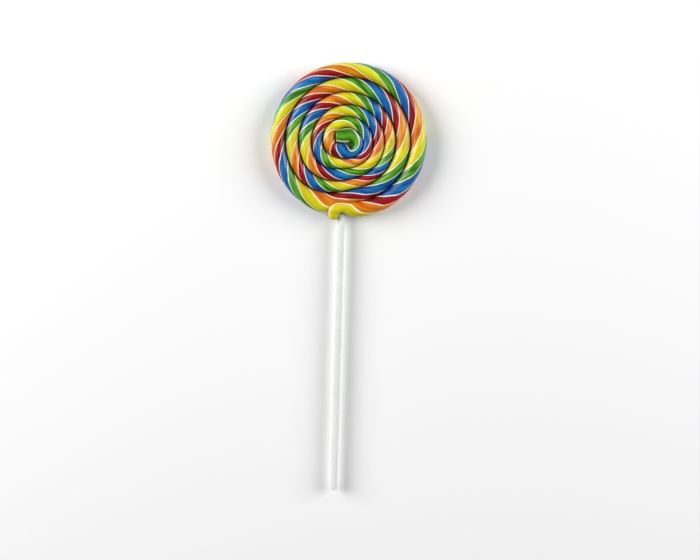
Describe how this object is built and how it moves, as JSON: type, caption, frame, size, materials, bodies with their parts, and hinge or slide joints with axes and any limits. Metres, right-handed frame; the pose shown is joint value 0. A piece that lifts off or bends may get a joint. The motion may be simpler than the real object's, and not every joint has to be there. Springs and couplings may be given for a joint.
{
  "type": "swirl lollipop",
  "caption": "Swirl lollipop: a twisted five-colour rope of boiled sugar coiled into a flat round head on a white paper stick, lying on its back.",
  "frame": {"origin": "middle of the flat spot at the back of the head, on the surface that the lollipop lies on", "axes": "+Z out of the front of the head, +Y along the stick from its free end to the head, +X to the right seen from the front"},
  "size_m": [0.0837, 0.235, 0.0122],
  "materials": {
    "sugar": "gloss",
    "stick_paper": "satin"
  },
  "bodies": {
    "root": {"candy": "sugar", "stick": "stick_paper"}
  },
  "joints": []
}
